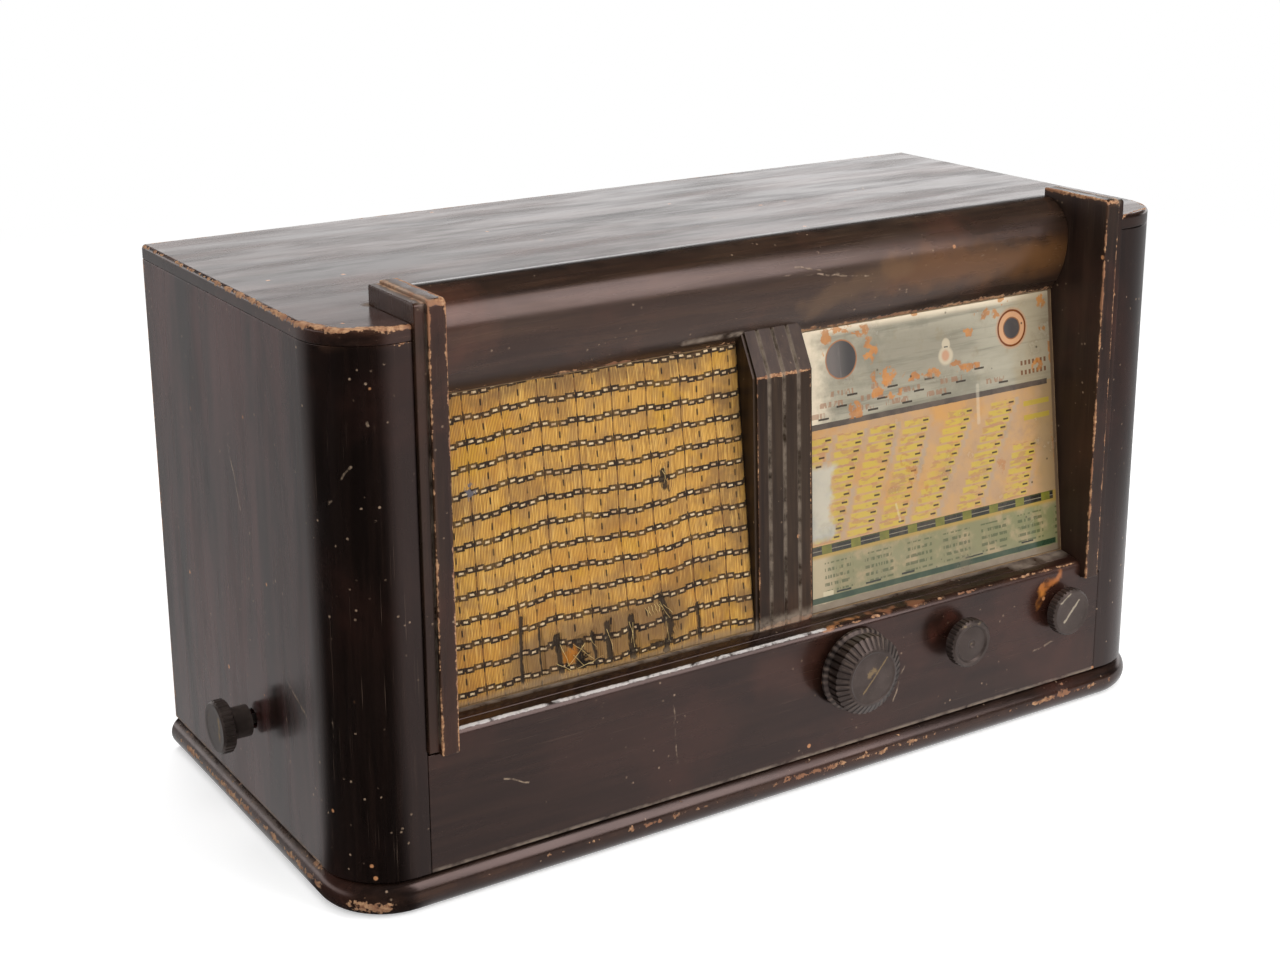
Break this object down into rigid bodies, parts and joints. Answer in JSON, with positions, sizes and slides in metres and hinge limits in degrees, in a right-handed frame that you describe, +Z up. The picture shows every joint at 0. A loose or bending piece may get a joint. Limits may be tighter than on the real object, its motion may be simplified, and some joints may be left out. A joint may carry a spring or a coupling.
{
  "type": "table radio receiver",
  "caption": "Wooden table radio with a leaning dial and speaker cloth in a recess between two fins, a rounded roll above, knobs below and one on the side.",
  "frame": {"origin": "middle of the cabinet's footprint, on the table it stands on", "axes": "+X to the listener's right along the front, +Y to the back of the set, +Z up; the knobs face -Y"},
  "size_m": [0.6275, 0.293, 0.3475],
  "materials": {
    "dark_wood": "dark brown lacquer, worn, with bare edges",
    "roll_wood": "brown lacquer, scratched",
    "inner_wood": "bare plywood and pine, unfinished",
    "hardboard": "pressed board, smooth side out",
    "cloth": "woven straw-gold cloth with rows of dark brown and pale threads",
    "dial": "glass with an opaque print on its rear face",
    "bakelite": "dark brown moulded, worn satin",
    "steel": "zinc-plated sheet",
    "turned_steel": "turned, bright",
    "aluminium": "dull",
    "brass": "turned, dulled",
    "laminations": "stacked sheet, varnished",
    "winding": "paper-covered copper winding",
    "valve_coat": "sprayed shielding coat",
    "valve_glass": "clear glass, silvered inside its top",
    "cord": "braided cord, waxed",
    "pointer_red": "painted",
    "reflector": "matt off-white paint on sheet steel",
    "lamp_glass": "clear",
    "paper": "moulded paper, dark",
    "paxolin": "resin-bonded paper",
    "frame_grey": "grey enamel",
    "rubber": "moulded, matt"
  },
  "bodies": {
    "cabinet": {"base_board": "dark_wood", "left_side": "dark_wood", "right_side": "dark_wood", "front_panel": "dark_wood", "top_panel": "dark_wood", "top_roll": "roll_wood", "sill": "dark_wood", "left_fin": "dark_wood", "right_fin": "dark_wood", "fin_strips": "dark_wood", "baffle_board": "inner_wood", "pilaster": "roll_wood", "speaker_cloth": "cloth", "dial_glass": "dial", "back_battens": "inner_wood", "back_cover": "hardboard", "back_cover_screws": "brass", "chassis_runners": "inner_wood", "chassis_bolts": "turned_steel", "potentiometers": "steel", "wave_switch": "paxolin", "gang_stator": "aluminium", "gang_frame": "steel", "dial_cord": "cord", "pointer_rail": "turned_steel", "dial_backplate": "reflector", "dial_lamps": "lamp_glass", "chassis": "steel", "mains_transformer_core": "laminations", "mains_transformer_coil": "winding", "smoothing_capacitors": "aluminium", "if_cans": "aluminium", "valve_holders": "bakelite", "mixer_valve": "valve_coat", "if_valve": "valve_coat", "audio_valve": "valve_coat", "output_valve": "valve_glass", "rectifier_valve": "valve_glass", "tuning_indicator": "valve_glass", "speaker_cone": "paper", "speaker_basket": "frame_grey", "speaker_magnet": "frame_grey", "speaker_screws": "turned_steel", "output_transformer": "laminations", "rear_socket_strip": "paxolin", "spindle_bush": "brass", "mains_grommet": "rubber"},
    "tuning": {"tuning_knob": "bakelite", "tuning_shaft": "turned_steel"},
    "gang": {"dial_drum": "aluminium", "gang_rotor": "aluminium"},
    "pulley_left": {"left_pulley": "brass"},
    "pulley_right": {"right_pulley": "brass"},
    "pointer": {"pointer": "pointer_red"},
    "volume": {"volume_knob": "bakelite", "volume_shaft": "turned_steel"},
    "tone": {"tone_knob": "bakelite", "tone_shaft": "turned_steel"},
    "wave": {"wave_knob": "bakelite", "wave_shaft": "turned_steel"}
  },
  "joints": [
    {"name": "tuning_turn", "type": "hinge", "parent": "cabinet", "child": "tuning", "pos_m": [0.041, -0.14, 0.075], "axis": [0, 1, 0], "range_deg": [0, 2475]},
    {"name": "gang_turn", "type": "hinge", "parent": "cabinet", "child": "gang", "pos_m": [0.13, -0.05, 0.145], "axis": [0, 1, 0], "range_deg": [0, 180.1]},
    {"name": "pulley_left_turn", "type": "hinge", "parent": "cabinet", "child": "pulley_left", "pos_m": [0.028, -0.067, 0.23], "axis": [0, 1, 0], "range_deg": [0, 1237.6]},
    {"name": "pulley_right_turn", "type": "hinge", "parent": "cabinet", "child": "pulley_right", "pos_m": [0.232, -0.067, 0.23], "axis": [0, 1, 0], "range_deg": [0, 1237.6]},
    {"name": "pointer_slide", "type": "slide", "parent": "cabinet", "child": "pointer", "axis": [1, 0, 0], "range_m": [0, 0.1729]},
    {"name": "volume_turn", "type": "hinge", "parent": "cabinet", "child": "volume", "pos_m": [0.1265, -0.14, 0.075], "axis": [0, 1, 0], "range_deg": [0, 280]},
    {"name": "tone_turn", "type": "hinge", "parent": "cabinet", "child": "tone", "pos_m": [0.2165, -0.14, 0.075], "axis": [0, 1, 0], "range_deg": [0, 280]},
    {"name": "wave_turn", "type": "hinge", "parent": "cabinet", "child": "wave", "pos_m": [-0.3, -0.003, 0.075], "axis": [1, 0, 0], "range_deg": [0, 90]}
  ],
  "couplings": [
    {"joint": "gang_turn", "follows": "tuning_turn", "ratio": 0.072727},
    {"joint": "pulley_left_turn", "follows": "tuning_turn", "ratio": 0.5},
    {"joint": "pulley_right_turn", "follows": "tuning_turn", "ratio": 0.5},
    {"joint": "pointer_slide", "follows": "tuning_turn", "m_per_rad": 0.004}
  ]
}
